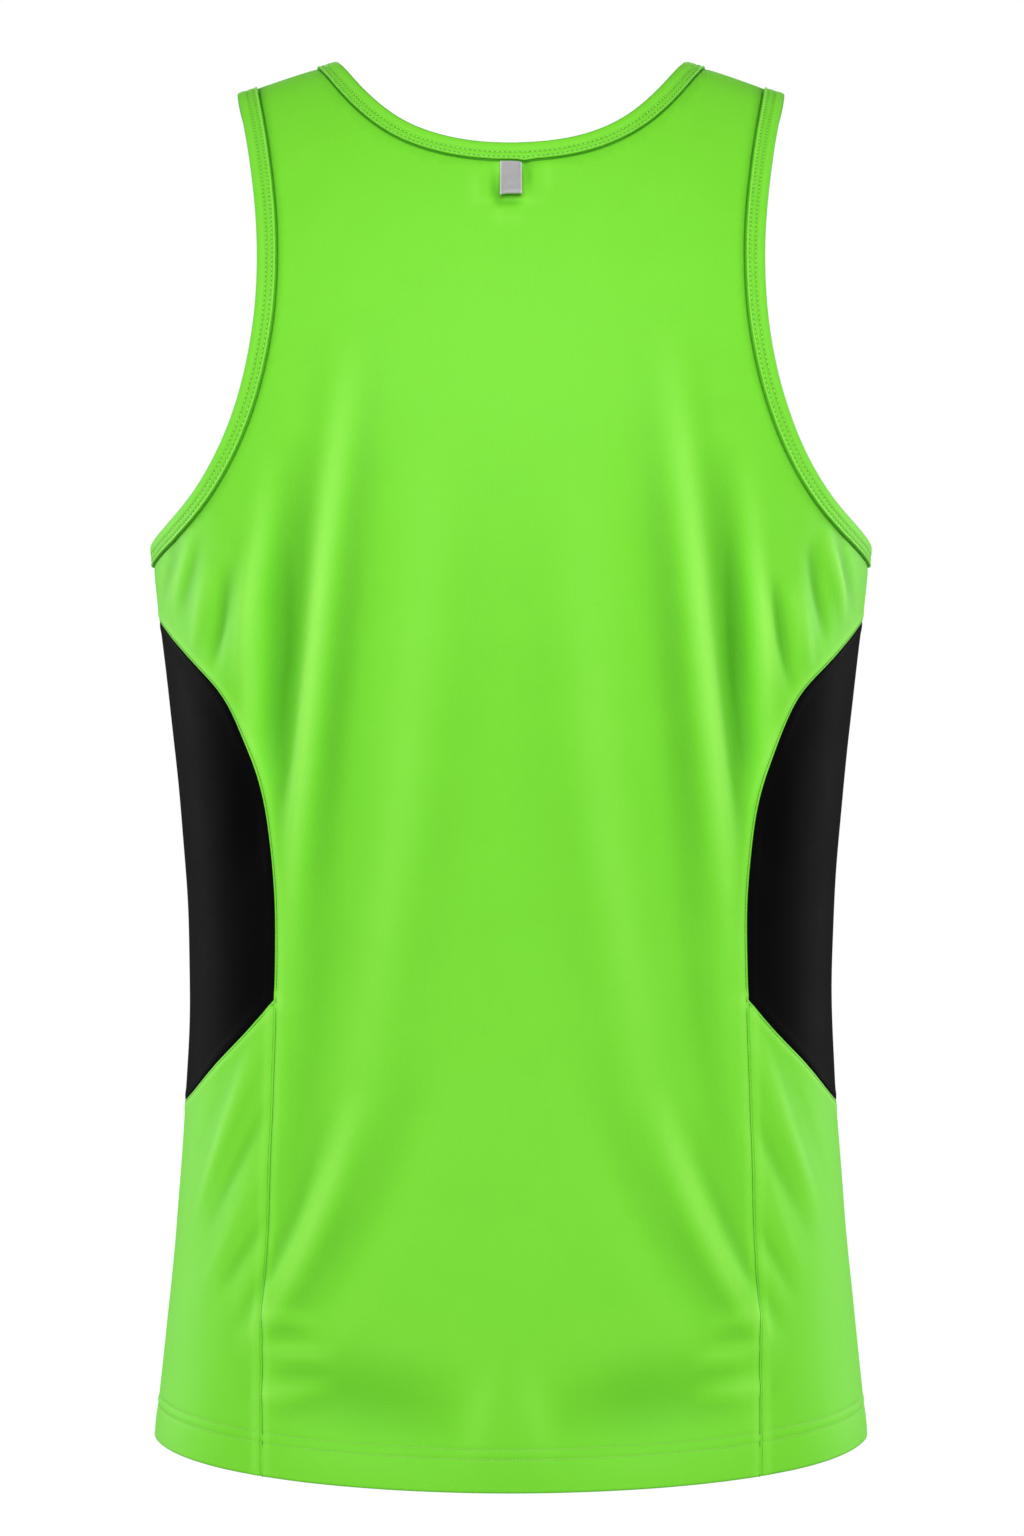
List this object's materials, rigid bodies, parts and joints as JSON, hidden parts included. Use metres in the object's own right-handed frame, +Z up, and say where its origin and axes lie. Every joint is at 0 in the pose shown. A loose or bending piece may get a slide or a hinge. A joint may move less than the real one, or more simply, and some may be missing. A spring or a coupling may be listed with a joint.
{
  "type": "athletic singlet",
  "caption": "Sleeveless athletic singlet in its hollow worn form, with a round neck, deep armholes, bound edges, curved contrast inserts at the sides and a dipped hem.",
  "frame": {"origin": "midway between the shoulder straps, at the height where their undersides rest on the wearer's shoulders beside the neck", "axes": "+Z up, the back of the garment faces -Y, the front faces +Y, and +X is the wearer's right"},
  "size_m": [0.3726, 0.2413, 0.7217],
  "materials": {
    "lime_knit": "smooth lime green polyester interlock knit with a soft satin sheen",
    "lime_binding": "the same knit, folded over the edge and stitched in two rows",
    "black_knit": "smooth black polyester knit with a faint sheen",
    "grey_satin": "plain grey satin tape"
  },
  "bodies": {
    "root": {"back_panel": "lime_knit", "front_panel": "lime_knit", "side_upper_left": "black_knit", "side_upper_right": "black_knit", "side_lower_left": "lime_knit", "side_lower_right": "lime_knit", "neck_binding": "lime_binding", "armhole_binding_left": "lime_binding", "armhole_binding_right": "lime_binding", "neck_tab": "grey_satin"}
  },
  "joints": []
}
